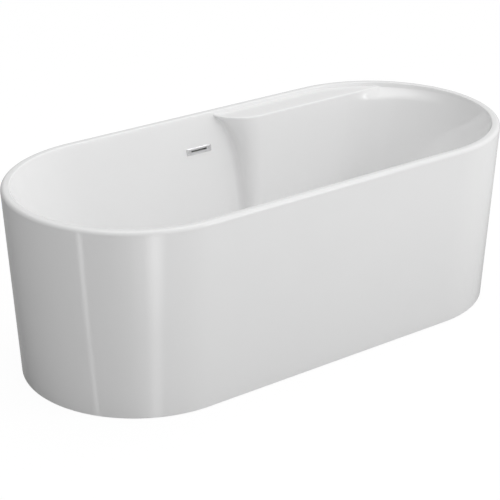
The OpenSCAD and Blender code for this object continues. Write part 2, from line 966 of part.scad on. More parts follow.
// Chromed waste flange with its threaded tail and the spider that carries the plug
module waste_flange()
{
    color("lightgray")
        union() {
            sleeve(waste_flange_r, tail_bore_r, flange_low, flange_high);
            sleeve(tail_r, tail_bore_r, tail_low, flange_low + eps);
            sleeve(cartridge_r, stem_r + slide_fit, spider_low, cartridge_low);
            difference() {
                for (a = [0, 90])
                    rotate([0, 0, a])
                        slab(2 * (tail_bore_r + eps), spoke_w, spider_low, cartridge_low);
                translate([0, 0, spider_low - eps])
                    cylinder(r = cartridge_r - eps, h = spider_t + 2 * eps, $fn = round_fn);
            }
        }
}

// Seals above and below the basin floor
module waste_seals()
{
    color("black") {
        sleeve(waste_flange_r - seal_inset, waste_hole_r, waste_z, flange_low);
        sleeve(body_flange_r - 2 * seal_inset, waste_hole_r, under_z - flange_seal_t, under_z);
    }
}

// Click cartridge on the spider
module plug_cartridge()
{
    color("silver")
        sleeve(cartridge_r, stem_r + slide_fit, cartridge_low, cartridge_low + cartridge_h);
}

// Plug cap with its stem
module waste_plug()
{
    edge_t = plug_t - 2;
    bevel = 2;
    bevel_drop = 0.5;
    dome_w = 6;
    color("lightgray") {
        translate([0, 0, cap_low])
            rotate_extrude($fn = round_fn)
                polygon([
                    [0, 0], [plug_r, 0], [plug_r, edge_t], [plug_r - bevel, plug_t - bevel_drop],
                    [plug_r - dome_w, plug_t], [0, plug_t]
                ]);
        translate([0, 0, stem_low])
            cylinder(r = stem_r, h = cap_low - stem_low, $fn = round_fn);
    }
}

// Rubber ring under the plug cap
module plug_seal()
{
    color("black")
        sleeve(plug_r - seal_inset, plug_r - seal_inset - cap_seal_w, cap_low - cap_seal_t, cap_low);
}

// Plastic body under the basin that joins waste and overflow
module waste_body()
{
    flange_top = body_flange_low + body_flange_t;
    color("whitesmoke")
        difference() {
            union() {
                rotate_extrude($fn = round_fn)
                    polygon([
                        [dip_bore_r, dip_low], [dip_r, dip_low], [dip_r, chamber_low], [chamber_r, chamber_low],
                        [chamber_r, body_flange_low], [body_flange_r, body_flange_low],
                        [body_flange_r, flange_top], [tail_r, flange_top], [tail_r, collar_low],
                        [chamber_bore_r, collar_low], [chamber_bore_r, chamber_low + trap_wall],
                        [dip_bore_r, chamber_low + trap_wall]
                    ]);
                translate([0, 0, pipe_z])
                    rotate([-90, 0, 0])
                        sleeve(boss_r, pipe_bore_r, chamber_r - trap_wall, boss_end);
            }
            translate([0, 0, pipe_z])
                rotate([-90, 0, 0])
                    translate([0, 0, chamber_bore_r - eps])
                        cylinder(r = pipe_bore_r, h = boss_end, $fn = round_fn);
        }
}

// Shallow trap under the waste body with its side outlet
module trap()
{
    color("whitesmoke")
        difference() {
            union() {
                rotate_extrude($fn = round_fn)
                    polygon([
                        [0, trap_low], [trap_r, trap_low], [trap_r, trap_high], [neck_r, trap_high],
                        [neck_r, trap_neck_high], [dip_r, trap_neck_high], [dip_r, trap_high - trap_wall],
                        [trap_r - trap_wall, trap_high - trap_wall],
                        [trap_r - trap_wall, trap_low + trap_wall], [0, trap_low + trap_wall]
                    ]);
                translate([0, 0, outlet_z])
                    rotate([0, 90, 0])
                        sleeve(outlet_r + trap_wall, outlet_r, trap_r - eps, socket_x);
            }
            translate([trap_r - 2 * trap_wall, 0, outlet_z])
                rotate([0, 90, 0])
                    cylinder(r = outlet_r, h = socket_x, $fn = round_fn);
        }
}

// Seal on the neck of the trap
module trap_seal()
{
    color("black")
        sleeve(neck_r, dip_r, trap_neck_high, trap_neck_high + trap_seal_t);
}

// Union nuts of the trap and of its outlet
module trap_nuts()
{
    color("darkgray") {
        difference() {
            translate([0, 0, union_low])
                cylinder(r = union_r, h = union_high - union_low, $fn = hex_fn);
            translate([0, 0, union_low - eps])
                cylinder(r = neck_r, h = union_bore_step - union_low + eps, $fn = round_fn);
            translate([0, 0, union_low - eps])
                cylinder(r = dip_r, h = union_high - union_low + 2 * eps, $fn = round_fn);
        }
        translate([0, 0, outlet_z])
            rotate([0, 90, 0])
                difference() {
                    translate([0, 0, nut_x])
                        cylinder(r = outlet_r + 2 * trap_wall + eps, h = nut_end - nut_x, $fn = round_fn);
                    translate([0, 0, nut_x - eps])
                        cylinder(r = outlet_r + trap_wall, h = socket_x - nut_x + eps, $fn = round_fn);
                    translate([0, 0, nut_x - eps])
                        cylinder(r = outlet_r, h = nut_end - nut_x + 2 * eps, $fn = round_fn);
                }
    }
}

// Outlet pipe to the drain in the room floor
module outlet_pipe()
{
    color("whitesmoke")
        translate([0, 0, outlet_z])
            rotate([0, 90, 0])
                sleeve(outlet_r, outlet_bore_r, pipe_start, outlet_x);
}

basin();
skirt();
rim_bond();
base_board();
frame_rails();
frame_cross_members();
weld_nuts();
lock_nuts();
foot_stud(1);  // foot_stud_1
foot_stud(2);  // foot_stud_2
foot_stud(3);  // foot_stud_3
foot_stud(4);  // foot_stud_4
foot_stud(5);  // foot_stud_5
foot_pad(1);  // foot_pad_1
foot_pad(2);  // foot_pad_2
foot_pad(3);  // foot_pad_3
foot_pad(4);  // foot_pad_4
foot_pad(5);  // foot_pad_5
skirt_blocks();
skirt_brackets();
bracket_screws();
board_screws();
overflow_cover();
overflow_seal();
overflow_body();
overflow_pipe();
overflow_elbow();
cross_pipe();
pipe_nuts();
waste_flange();
waste_seals();
plug_cartridge();
waste_plug();
plug_seal();
waste_body();
trap();
trap_seal();
trap_nuts();
outlet_pipe();
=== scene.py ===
import json
import math

import bmesh
import bpy
import numpy as np
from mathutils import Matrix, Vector


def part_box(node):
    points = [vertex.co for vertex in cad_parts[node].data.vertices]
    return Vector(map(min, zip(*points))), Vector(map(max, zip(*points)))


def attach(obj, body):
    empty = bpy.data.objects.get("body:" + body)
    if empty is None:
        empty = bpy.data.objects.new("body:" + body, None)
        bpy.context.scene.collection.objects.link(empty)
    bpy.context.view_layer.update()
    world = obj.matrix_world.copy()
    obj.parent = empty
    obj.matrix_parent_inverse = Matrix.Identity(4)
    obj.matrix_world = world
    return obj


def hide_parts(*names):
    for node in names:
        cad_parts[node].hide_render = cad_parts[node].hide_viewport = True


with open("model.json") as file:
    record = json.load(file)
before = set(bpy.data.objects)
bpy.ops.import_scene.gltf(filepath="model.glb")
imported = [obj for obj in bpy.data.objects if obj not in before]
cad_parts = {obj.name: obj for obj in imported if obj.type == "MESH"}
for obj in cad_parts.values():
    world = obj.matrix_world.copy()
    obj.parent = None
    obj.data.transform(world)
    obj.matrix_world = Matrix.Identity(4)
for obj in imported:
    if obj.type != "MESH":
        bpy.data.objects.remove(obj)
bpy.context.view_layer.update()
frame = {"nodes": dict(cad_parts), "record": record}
scene = bpy.context.scene

# ---------------------------------------------------------------- camera
# A long lens from the front left, a little above the rim.
target = Vector((-0.049, 0.0, 0.2585))
azimuth = math.radians(-36.54)
elevation = math.radians(23.90)
towards_camera = Vector((
    math.sin(azimuth) * math.cos(elevation),
    -math.cos(azimuth) * math.cos(elevation),
    math.sin(elevation),
))
lens = bpy.data.cameras.new("camera")
lens.sensor_width = 36.0
lens.lens = 115.65
lens.clip_end = 60.0
camera = bpy.data.objects.new("camera", lens)
camera.location = target + towards_camera * 5.0076
camera.rotation_euler = (-towards_camera).to_track_quat("-Z", "Y").to_euler()
scene.collection.objects.link(camera)
scene.camera = camera
scene.view_settings.view_transform = "Standard"

# ---------------------------------------------------------------- studio
# A white room: pale floor, soft surroundings that are brighter in front of the
# tub than at its left end, two upright strips of light and two soft lamps.
# Both lists hold bearings in degrees, 0 towards the shelf end, with a level.
world = bpy.data.worlds.new("studio")
scene.world = world
world.use_nodes = True
tree = world.node_tree
tree.nodes.clear()
direction = tree.nodes.new("ShaderNodeTexCoord")
split = tree.nodes.new("ShaderNodeSeparateXYZ")
tree.links.new(direction.outputs["Generated"], split.inputs["Vector"])
bearing = tree.nodes.new("ShaderNodeMath")
bearing.operation = "ARCTAN2"
tree.links.new(split.outputs["Y"], bearing.inputs[0])
tree.links.new(split.outputs["X"], bearing.inputs[1])
turn = tree.nodes.new("ShaderNodeMapRange")
turn.inputs["From Min"].default_value = -math.pi
turn.inputs["From Max"].default_value = math.pi
tree.links.new(bearing.outputs["Value"], turn.inputs["Value"])
ramps = []
room_walls = (
    (-180.0, 0.05), (-150.0, 0.05), (-120.0, 0.18), (-97.0, 0.27),
    (-80.0, 0.26), (-40.0, 0.26), (60.0, 0.11), (105.0, 0.02),
)
light_strips = (
    (-180.0, 0.0), (-175.0, 0.03), (-171.0, 0.67), (-167.5, 0.05), (-150.0, 0.0),
    (-132.0, 0.0), (-120.0, 0.16), (-108.0, 0.77), (-97.0, 0.08), (-80.0, 0.0),
)
for levels in (room_walls, light_strips):
    ramp = tree.nodes.new("ShaderNodeValToRGB")
    ramp.color_ramp.interpolation = "EASE"
    tree.links.new(turn.outputs["Result"], ramp.inputs["Fac"])
    stops = ramp.color_ramp.elements
    for k, (degrees, level) in enumerate(levels):
        share = (degrees + 180.0) / 360.0
        stop = stops[0] if k == 0 else stops.new(share)
        stop.position = share
        stop.color = (level, level, level, 1.0)
    first_level = levels[0][1]
    stops[-1].color = (first_level, first_level, first_level, 1.0)
    ramps.append(ramp)
low_only = tree.nodes.new("ShaderNodeMapRange")
low_only.inputs["From Min"].default_value = 0.15
low_only.inputs["From Max"].default_value = -0.10
tree.links.new(split.outputs["Z"], low_only.inputs["Value"])
walls = tree.nodes.new("ShaderNodeMath")
walls.operation = "MULTIPLY_ADD"
tree.links.new(ramps[1].outputs["Color"], walls.inputs[0])
tree.links.new(low_only.outputs["Result"], walls.inputs[1])
tree.links.new(ramps[0].outputs["Color"], walls.inputs[2])
fade = tree.nodes.new("ShaderNodeMapRange")
fade.inputs["From Min"].default_value = -0.56
fade.inputs["From Max"].default_value = -0.36
fade.inputs["To Min"].default_value = 0.55
tree.links.new(split.outputs["Z"], fade.inputs["Value"])
ceiling = tree.nodes.new("ShaderNodeMapRange")
ceiling.interpolation_type = "SMOOTHSTEP"
ceiling.inputs["From Min"].default_value = 0.30
ceiling.inputs["From Max"].default_value = 0.80
tree.links.new(split.outputs["Z"], ceiling.inputs["Value"])
wall_level = tree.nodes.new("ShaderNodeMath")
wall_level.operation = "MULTIPLY"
tree.links.new(walls.outputs["Value"], wall_level.inputs[0])
tree.links.new(fade.outputs["Result"], wall_level.inputs[1])
wall_light = tree.nodes.new("ShaderNodeMath")
wall_light.operation = "MULTIPLY"
wall_light.inputs[1].default_value = 4.2
tree.links.new(wall_level.outputs["Value"], wall_light.inputs[0])
room = tree.nodes.new("ShaderNodeMix")
room.inputs["B"].default_value = 0.76
tree.links.new(ceiling.outputs["Result"], room.inputs["Factor"])
tree.links.new(wall_light.outputs["Value"], room.inputs["A"])
around = tree.nodes.new("ShaderNodeBackground")
backdrop = tree.nodes.new("ShaderNodeBackground")
backdrop.inputs["Color"].default_value = (1.0, 1.0, 1.0, 1.0)
path = tree.nodes.new("ShaderNodeLightPath")
choose = tree.nodes.new("ShaderNodeMixShader")
world_out = tree.nodes.new("ShaderNodeOutputWorld")
tree.links.new(room.outputs["Result"], around.inputs["Color"])
tree.links.new(path.outputs["Is Camera Ray"], choose.inputs["Fac"])
tree.links.new(around.outputs["Background"], choose.inputs[1])
tree.links.new(backdrop.outputs["Background"], choose.inputs[2])
tree.links.new(choose.outputs["Shader"], world_out.inputs["Surface"])

for name, place, aim, width, height, watts in (
    ("key lamp", (1.9, -3.2, 2.6), (0.0, 0.0, 0.3), 1.6, 1.0, 20.0),
    ("top lamp", (0.0, 0.3, 3.4), (0.0, 0.0, 0.3), 2.6, 1.4, 14.0),
):
    lamp = bpy.data.lights.new(name, "AREA")
    lamp.shape = "RECTANGLE"
    lamp.size = width
    lamp.size_y = height
    lamp.energy = watts
    holder = bpy.data.objects.new(name, lamp)
    holder.location = place
    holder.rotation_euler = (Vector(aim) - Vector(place)).to_track_quat("-Z", "Y").to_euler()
    scene.collection.objects.link(holder)

floor_mesh = bpy.data.meshes.new("studio_floor")
floor_mesh.from_pydata([(-30, -30, 0), (30, -30, 0), (30, 30, 0), (-30, 30, 0)], [], [(0, 1, 2, 3)])
floor = bpy.data.objects.new("studio_floor", floor_mesh)
scene.collection.objects.link(floor)
floor_paint = bpy.data.materials.new("floor paint")
floor_paint.use_nodes = True
tree = floor_paint.node_tree
tree.nodes.clear()
matt = tree.nodes.new("ShaderNodeBsdfDiffuse")
matt.inputs["Color"].default_value = (0.58, 0.58, 0.58, 1.0)
pale = tree.nodes.new("ShaderNodeEmission")
pale.inputs["Strength"].default_value = 1.10
clear = tree.nodes.new("ShaderNodeBsdfTransparent")
unseen = tree.nodes.new("ShaderNodeMixShader")
path = tree.nodes.new("ShaderNodeLightPath")
share = tree.nodes.new("ShaderNodeMath")
share.operation = "MULTIPLY"
share.inputs[1].default_value = 0.85
choose = tree.nodes.new("ShaderNodeMixShader")
floor_out = tree.nodes.new("ShaderNodeOutputMaterial")
tree.links.new(path.outputs["Is Camera Ray"], share.inputs[0])
tree.links.new(share.outputs["Value"], choose.inputs["Fac"])
tree.links.new(matt.outputs["BSDF"], choose.inputs[1])
tree.links.new(pale.outputs["Emission"], choose.inputs[2])
tree.links.new(path.outputs["Is Glossy Ray"], unseen.inputs["Fac"])
tree.links.new(choose.outputs["Shader"], unseen.inputs[1])
tree.links.new(clear.outputs["BSDF"], unseen.inputs[2])
tree.links.new(unseen.outputs["Shader"], floor_out.inputs["Surface"])
floor_mesh.materials.append(floor_paint)

# ---------------------------------------------------------------- basin
# One vacuum-formed sheet of white acrylic with rim, shelf, walls and floor.
# The back is glass fibre; the rim turns down over the top of the skirt.
tub_length = 1.700
tub_height = 0.590
rim_radius = 0.390
straight_half = tub_length / 2 - rim_radius
rim_width = 0.027
wall_radius = rim_radius - rim_width
outer_rounding = 0.012
inner_rounding = 0.004
joint_height = tub_height - outer_rounding - 0.002
skirt_taper = 0.030
sheet = 0.005
rim_sheet = 0.006
edge_drop = 0.0005
edge_gap = 0.0001
wall_step = 0.0025
shelf_height = tub_height - 0.012
shelf_front = 0.268
shelf_rounding = 0.005
floor_height = 0.150
floor_rounding = 0.080
waste_height = 0.146
under_height = 0.143
waste_hole = 0.024
side_lean = 0.158
end_lean = 0.44
shelf_lean = 0.03
shelf_start = 0.065
shelf_start_draw = 0.087
shelf_corner = 0.094
shelf_corner_draw = 0.064
shelf_draw_depth = 0.060
shelf_tip = 0.557
tip_draw = 0.15
tip_fade = 0.035
corner_low_radius = 0.035
corner_gain = 0.099
root_top_radius = 0.0005
root_gain = 0.022
waste_flat = 0.039
overflow_height = 0.477
neck_width = 0.070
neck_height = 0.012


def skirt_radius(z):
    """Radius of the outer wall at height z."""
    return rim_radius - skirt_taper * (tub_height - outer_rounding - z) / (tub_height - outer_rounding)


def side_reach(z):
    """Half width of the basin at height z."""
    return wall_radius - side_lean * (tub_height - z)


def end_reach(z):
    """Reach of the round ends of the basin at height z."""
    return straight_half + side_reach(shelf_height) - end_lean * (shelf_height - z)


def rounded_corner(before, corner, after, radius, t):
    """Points of a rounded corner in plan for the shares t from 0 to 1."""
    a = (before - corner) / np.linalg.norm(before - corner)
    b = (after - corner) / np.linalg.norm(after - corner)
    half = math.acos(float(a @ b)) / 2
    middle = corner + (a + b) / np.linalg.norm(a + b) * radius / math.sin(half)
    start = corner + a * radius / math.tan(half) - middle
    stop = corner + b * radius / math.tan(half) - middle
    side = math.copysign(1.0, start[0] * stop[1] - start[1] * stop[0])
    w = side * (math.pi - 2 * half) * t
    return np.stack([
        middle[0] + start[0] * np.cos(w) - start[1] * np.sin(w),
        middle[1] + start[0] * np.sin(w) + start[1] * np.cos(w),
    ], 1)


# Columns run around the plan: left end, front, right end, curved wall behind
# the shelf tip, flat shelf front, shelf corner, its root at the wall, back wall.
left_t = np.arange(96) / 96
front_t = np.arange(20) / 20
end_t = np.arange(56) / 56
tip_t = np.arange(72) / 72
flat_t = (np.arange(26) / 26) ** 1.2
corner_t = np.arange(44) / 44
root_t = (np.arange(20) + 0.5) / 20
back_x = np.array([neck_width / 2, -neck_width / 2, -0.08, -0.13, -0.18, -0.23, -0.28, -0.32])
shelf_columns = np.concatenate([
    np.zeros(len(left_t) + len(front_t) + len(end_t)),
    np.clip((np.arange(len(tip_t)) - 30) / 12, 0, 1),
    np.ones(len(flat_t) + len(corner_t)),
    np.zeros(len(root_t) + len(back_x)),
])


def basin_outline(z, inward):
    """Plan outline of the basin at height z, moved inwards by a distance per column."""
    g = np.broadcast_to(np.asarray(inward, float), shelf_columns.shape)
    depth = max(0.0, shelf_height - z)
    left = math.exp(-depth / shelf_draw_depth)
    front = shelf_front - shelf_lean * depth
    reach = side_reach(z)
    centre = end_reach(z) - reach
    stretches = (left_t, front_t, end_t, tip_t, flat_t, corner_t, root_t, back_x)
    counts = np.cumsum([0] + [len(t) for t in stretches])
    out = np.zeros((counts[-1], 2))
    part = [slice(counts[k], counts[k + 1]) for k in range(8)]
    a = math.pi / 2 + math.pi * left_t
    r = reach - g[part[0]]
    out[part[0]] = np.stack([-centre + r * np.cos(a), r * np.sin(a)], 1)
    out[part[1]] = np.stack([-centre + 2 * centre * front_t, -(reach - g[part[1]])], 1)
    a = math.pi / 2 * end_t - math.pi / 2
    r = reach - g[part[2]]
    out[part[2]] = np.stack([centre + r * np.cos(a), r * np.sin(a)], 1)
    gt = g[part[3]]
    a = math.pi / 2 * tip_t
    y = front - gt
    tip_x = shelf_tip - tip_draw * (shelf_height - z)
    x0 = tip_x - np.maximum(0, gt)
    length = end_reach(z) - gt - x0
    away = x0 - centre
    along = away * np.cos(a)
    to_arc = -along + np.sqrt(np.maximum(0, along ** 2 - away ** 2 + (reach - gt) ** 2))
    to_front = np.where(np.sin(a) > 0.001, y / np.maximum(np.sin(a), 1e-6), to_arc)
    sharp = np.minimum(to_arc, to_front)
    s = min(1.0, max(0.0, (shelf_height - z) / tip_fade))
    s = s * s * (3 - 2 * s)
    out[part[3]] = np.stack([
        x0 + ((1 - s) * sharp + s * length) * np.cos(a),
        (1 - s) * sharp * np.sin(a) + s * y * np.sin(a),
    ], 1)
    for k in np.unique(g[counts[4]:counts[8]]):
        wall = np.array([shelf_start + shelf_start_draw * (1 - left) - k, reach - k])
        corner = np.array([shelf_corner + shelf_corner_draw * (1 - left) - k, front - k])
        tip = np.array([tip_x - max(0.0, k), front - k])
        far = np.array([-centre, reach - k])
        corner_radius = corner_low_radius + corner_gain * left
        root_radius = root_top_radius + root_gain * (1 - left)
        turn = rounded_corner(tip, corner, wall, corner_radius, corner_t)
        root = rounded_corner(corner, wall, far, root_radius, root_t)
        flat = tip + (turn[0] - tip) * flat_t[:, None]
        back = np.stack([back_x, np.full(len(back_x), reach - k)], 1)
        rows = np.concatenate([flat, turn, root, back])
        chosen = g[counts[4]:counts[8]] == k
        out[counts[4]:counts[8]][chosen] = rows[chosen]
    return out


def stadium_outline(radius):
    """Plan outline of the rim with that radius, column by column."""
    base = basin_outline(shelf_height, 0.0)
    over = np.abs(base[:, 0]) - straight_half
    ends = np.stack([np.sign(base[:, 0]) * np.maximum(over, 0), base[:, 1]], 1)
    ends = ends / np.linalg.norm(ends, axis=1)[:, None] * radius
    flat = np.stack([base[:, 0], np.sign(base[:, 1]) * radius], 1)
    ends[:, 0] += np.sign(base[:, 0]) * straight_half
    return np.where((over > 0)[:, None], ends, flat)


def ring(outline, z):
    """Plan outline lifted to height z."""
    return np.column_stack([outline, np.full(len(outline), z)])


def shelf_ring(z, outward):
    """Ring by the shelf edge: only the columns over the shelf move outwards."""
    outline = basin_outline(z, -outward * shelf_columns)
    middle = end_reach(z) - side_reach(z)
    over = np.stack([np.maximum(0, outline[:, 0] - middle), outline[:, 1]], 1)
    reach = np.linalg.norm(over, axis=1)
    limit = side_reach(z) - edge_gap
    inside = np.stack([outline[:, 0] - over[:, 0], 0 * reach], 1) + over * (limit / reach)[:, None]
    return ring(np.where(((reach > limit) & (shelf_columns > 0))[:, None], inside, outline), z)


rings = [ring(stadium_outline(skirt_radius(joint_height)), joint_height)]
for a in np.radians(np.linspace(0, 90, 9)):
    outline = stadium_outline(rim_radius - outer_rounding * (1 - math.cos(a)))
    rings.append(ring(outline, tub_height - outer_rounding * (1 - math.sin(a))))
for a in np.radians(np.linspace(0, 80, 6)):
    outline = stadium_outline(wall_radius + inner_rounding * (1 - math.sin(a)))
    rings.append(ring(outline, tub_height - inner_rounding * (1 - math.cos(a))))
rings.append(ring(stadium_outline(side_reach(shelf_height)), shelf_height))
edge_top = shelf_height - edge_drop
for a in np.radians(np.linspace(0, 90, 7)):
    z = edge_top - shelf_rounding * (1 - math.cos(a))
    rings.append(shelf_ring(z, shelf_rounding * (1 - math.sin(a))))
wall_heights = np.concatenate([
    edge_top - shelf_rounding - wall_step * np.arange(1, 13),
    np.linspace(0.536, 0.486, 8),
    [overflow_height + neck_height / 2, overflow_height - neck_height / 2],
    np.linspace(0.460, 0.230, 22),
])
for z in wall_heights:
    rings.append(ring(basin_outline(z, 0.0), z))
for a in np.radians(np.linspace(6, 90, 15)):
    z = floor_height + floor_rounding * (1 - math.sin(a))
    rings.append(ring(basin_outline(z, floor_rounding * (1 - math.cos(a))), z))
floor_outline = basin_outline(floor_height, floor_rounding)
hole_angle = math.radians(145) + 2 * math.pi * np.arange(len(floor_outline)) / len(floor_outline)
round_outline = np.stack([np.cos(hole_angle), np.sin(hole_angle)], 1)
hole_outline = waste_hole * round_outline
for share in (0.85, 0.7, 0.55, 0.4, 0.25):
    mixed = floor_outline * share * (share + 0.15) + round_outline * 0.16 * (0.85 - share)
    rings.append(ring(mixed, waste_height + (floor_height - waste_height) * share))
rings.append(ring(round_outline * waste_flat, waste_height))
rings.append(ring(hole_outline, waste_height))
rings.append(ring(hole_outline, under_height))
rings.append(ring(floor_outline, under_height))
for a in np.radians([75, 60, 45, 30, 15]):
    z = floor_height + floor_rounding - (floor_rounding + sheet) * math.sin(a)
    rings.append(ring(basin_outline(z, floor_rounding - (floor_rounding + sheet) * math.cos(a)), z))
back_heights = [0.230, 0.290, 0.350, 0.410,
                overflow_height - neck_height / 2, overflow_height + neck_height / 2,
                0.510, 0.530, 0.538, 0.546, 0.553, 0.559, 0.565]
for z in back_heights:
    rings.append(ring(basin_outline(z, -sheet), z))
under_edge = edge_top - rim_sheet
rings.append(ring(basin_outline(under_edge, -sheet), under_edge))
rings.append(ring(stadium_outline(side_reach(shelf_height) + sheet), shelf_height - rim_sheet))
rings.append(ring(stadium_outline(wall_radius + sheet), tub_height - rim_sheet))
rings.append(ring(stadium_outline(skirt_radius(joint_height) - sheet), tub_height - rim_sheet))
rings.append(ring(stadium_outline(skirt_radius(joint_height) - sheet), joint_height))
columns = len(shelf_columns)
row_count = len(rings)
hole_column = columns - len(back_x)
opening_top = overflow_height + neck_height / 2
opening_low = overflow_height - neck_height / 2
ring_heights = [r[0][2] for r in rings]
front_row = next(j for j, z in enumerate(ring_heights) if abs(z - opening_top) < 1e-6)
back_row = next(j for j, z in enumerate(ring_heights) if j > front_row + 5 and abs(z - opening_low) < 1e-6)
faces = []
for j in range(row_count):
    for i in range(columns):
        if i == hole_column and j in (front_row, back_row):
            continue
        n = (j + 1) % row_count
        k = (i + 1) % columns
        faces.append((j * columns + i, n * columns + i, n * columns + k, j * columns + k))
front_edge = [front_row * columns + hole_column + d for d in (0, 1, columns + 1, columns)]
back_edge = [back_row * columns + hole_column + d for d in (columns, columns + 1, 1, 0)]
for k in range(4):
    n = (k + 1) % 4
    faces.append((front_edge[k], back_edge[k], back_edge[n], front_edge[n]))
basin_mesh = bpy.data.meshes.new("basin_shell")
basin_mesh.from_pydata([tuple(p) for p in np.concatenate(rings)], [], faces)
basin_mesh.validate()
basin = bpy.data.objects.new("basin_shell", basin_mesh)
scene.collection.objects.link(basin)
basin_mesh.shade_smooth()
basin_mesh.set_sharp_from_angle(angle=math.radians(32))
first_back_row = ring_heights.index(under_height)
last_back_row = len(rings) - 3
rows_of_faces = np.array([f[0] // columns for f in faces])
on_back = (rows_of_faces >= first_back_row) & (rows_of_faces <= last_back_row)
basin_mesh.polygons.foreach_set("material_index", on_back.astype(np.int32))

# Fine unevenness shared by every finish: a soft mask, a roughness between two
# limits and a slightly uneven normal.
marks = bpy.data.node_groups.new("surface_marks", "ShaderNodeTree")
marks.interface.new_socket("Coordinates", in_out="INPUT", socket_type="NodeSocketVector")
for name in ("Scale", "Roughness Low", "Roughness High", "Bump", "Bump Scale"):
    marks.interface.new_socket(name, in_out="INPUT", socket_type="NodeSocketFloat")
marks.interface.new_socket("Mask", in_out="OUTPUT", socket_type="NodeSocketFloat")
marks.interface.new_socket("Roughness", in_out="OUTPUT", socket_type="NodeSocketFloat")
marks.interface.new_socket("Normal", in_out="OUTPUT", socket_type="NodeSocketVector")
given = marks.nodes.new("NodeGroupInput")
result = marks.nodes.new("NodeGroupOutput")
broad = marks.nodes.new("ShaderNodeTexNoise")
broad.inputs["Detail"].default_value = 4.0
fine = marks.nodes.new("ShaderNodeTexNoise")
fine.inputs["Detail"].default_value = 2.0
spread = marks.nodes.new("ShaderNodeMapRange")
bump = marks.nodes.new("ShaderNodeBump")
bump.inputs["Distance"].default_value = 0.001
marks.links.new(given.outputs["Coordinates"], broad.inputs["Vector"])
marks.links.new(given.outputs["Scale"], broad.inputs["Scale"])
marks.links.new(given.outputs["Coordinates"], fine.inputs["Vector"])
marks.links.new(given.outputs["Bump Scale"], fine.inputs["Scale"])
marks.links.new(broad.outputs["Fac"], spread.inputs["Value"])
marks.links.new(given.outputs["Roughness Low"], spread.inputs["To Min"])
marks.links.new(given.outputs["Roughness High"], spread.inputs["To Max"])
marks.links.new(fine.outputs["Fac"], bump.inputs["Height"])
marks.links.new(given.outputs["Bump"], bump.inputs["Strength"])
marks.links.new(broad.outputs["Fac"], result.inputs["Mask"])
marks.links.new(spread.outputs["Result"], result.inputs["Roughness"])
marks.links.new(bump.outputs["Normal"], result.inputs["Normal"])


def finish(name, dark, light, roughness, scale, bump_strength, bump_scale, metallic=0.0):
    """Material that varies softly between two colours, with uneven gloss."""
    material = bpy.data.materials.new(name)
    material.use_nodes = True
    nodes = material.node_tree.nodes
    links = material.node_tree.links
    shader = nodes["Principled BSDF"]
    shader.inputs["Metallic"].default_value = metallic
    where = nodes.new("ShaderNodeTexCoord")
    group = nodes.new("ShaderNodeGroup")
    group.node_tree = marks
    group.inputs["Scale"].default_value = scale
    group.inputs["Roughness Low"].default_value = roughness[0]
    group.inputs["Roughness High"].default_value = roughness[1]
    group.inputs["Bump"].default_value = bump_strength
    group.inputs["Bump Scale"].default_value = bump_scale
    colours = nodes.new("ShaderNodeMix")
    colours.data_type = "RGBA"
    colours.inputs[6].default_value = (*dark, 1.0)
    colours.inputs[7].default_value = (*light, 1.0)
    links.new(where.outputs["Object"], group.inputs["Coordinates"])
    links.new(group.outputs["Mask"], colours.inputs["Factor"])
    links.new(colours.outputs[2], shader.inputs["Base Color"])
    links.new(group.outputs["Roughness"], shader.inputs["Roughness"])
    links.new(group.outputs["Normal"], shader.inputs["Normal"])
    return material


acrylic = finish(
    "white acrylic", (0.895, 0.895, 0.895), (0.915, 0.915, 0.915), (0.04, 0.07), 6.0, 0.01, 40.0)
acrylic.node_tree.nodes["Principled BSDF"].inputs["IOR"].default_value = 1.49
resin = finish(
    "glass fibre backing", (0.55, 0.55, 0.50), (0.72, 0.72, 0.66), (0.45, 0.75), 60.0, 0.6, 350.0)
basin_mesh.materials.append(acrylic)
basin_mesh.materials.append(resin)
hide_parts("basin")
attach(basin, "tub")


def paint(name, material):
    """Gives a piece its finish."""
    piece = frame["nodes"][name]
    piece.data.materials.clear()
    piece.data.materials.append(material)


# ---------------------------------------------------------------- base board
# Chipboard sheet with rounded corners, laminated under the floor of the basin.
# The screws of the rails hold in it.
chipboard = finish("chipboard", (0.36, 0.24, 0.13), (0.62, 0.46, 0.28), (0.7, 0.9), 180.0, 0.5, 400.0)
nodes = chipboard.node_tree.nodes
links = chipboard.node_tree.links
flakes = nodes.new("ShaderNodeTexVoronoi")
flakes.inputs["Scale"].default_value = 220.0
flake_colour = nodes.new("ShaderNodeMix")
flake_colour.data_type = "RGBA"
flake_colour.blend_type = "MULTIPLY"
flake_colour.inputs["Factor"].default_value = 0.5
where = next(n for n in nodes if n.type == "TEX_COORD")
plain = next(n for n in nodes if n.type == "MIX" and n != flake_colour)
links.new(where.outputs["Object"], flakes.inputs["Vector"])
links.new(plain.outputs[2], flake_colour.inputs[6])
links.new(flakes.outputs["Color"], flake_colour.inputs[7])
links.new(flake_colour.outputs[2], nodes["Principled BSDF"].inputs["Base Color"])
paint("base_board", chipboard)

# ---------------------------------------------------------------- frame
# Square steel tubes, powder coated: two long rails screwed up into the board
# and three cross members welded under them.
frame_paint = finish(
    "powder coat", (0.020, 0.021, 0.023), (0.035, 0.036, 0.038), (0.35, 0.5), 30.0, 0.35, 900.0)
paint("frame_rails", frame_paint)
paint("frame_cross_members", frame_paint)

